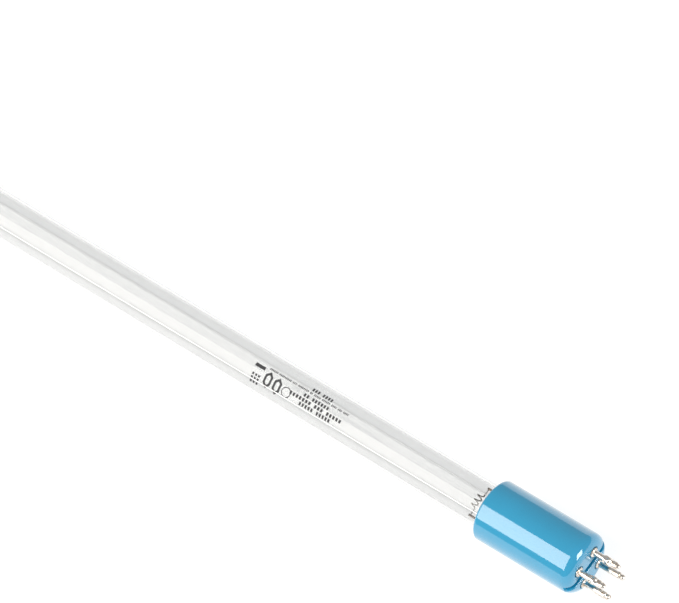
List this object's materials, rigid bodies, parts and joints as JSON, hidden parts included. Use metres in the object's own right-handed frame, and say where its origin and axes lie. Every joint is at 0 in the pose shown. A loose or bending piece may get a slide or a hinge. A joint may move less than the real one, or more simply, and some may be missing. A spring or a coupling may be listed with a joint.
{
  "type": "single-ended germicidal lamp",
  "caption": "Slim clear quartz germicidal tube lamp with a slotted blue pin base at one end, a plain blue cap at the other and return wires along the tube.",
  "frame": {"origin": "centre of the flat pin face of the base, in the middle of the pin pattern", "axes": "+X along the lamp, out of the pin face; +Y along the keying slot; +Z across the slot"},
  "size_m": [0.8035, 0.0216, 0.0216],
  "materials": {
    "blue_glaze": "smooth gloss glaze",
    "clear_quartz": "clear fused quartz",
    "cement": "matt off-white cement",
    "pin_plate": "bright nickel plate",
    "emitter_coil": "oxide coated tungsten",
    "dark_wire": "drawn molybdenum wire",
    "seal_foil": "thin rolled foil",
    "bright_wire": "drawn nickel wire",
    "mercury": "liquid metal bead"
  },
  "bodies": {
    "root": {"base_shell": "blue_glaze", "end_cap_shell": "blue_glaze", "quartz_tube": "clear_quartz", "base_cement": "cement", "cap_cement": "cement", "contact_pin_1": "pin_plate", "contact_pin_2": "pin_plate", "contact_pin_3": "pin_plate", "contact_pin_4": "pin_plate", "near_filament": "emitter_coil", "near_support_1": "dark_wire", "near_foil_1": "seal_foil", "near_lead_1": "bright_wire", "near_support_2": "dark_wire", "near_foil_2": "seal_foil", "near_lead_2": "bright_wire", "far_filament": "emitter_coil", "far_support_1": "dark_wire", "far_foil_1": "seal_foil", "far_lead_1": "bright_wire", "far_support_2": "dark_wire", "far_foil_2": "seal_foil", "far_lead_2": "bright_wire", "return_wire_1": "bright_wire", "return_wire_2": "bright_wire", "mercury_bead": "mercury"}
  },
  "joints": []
}
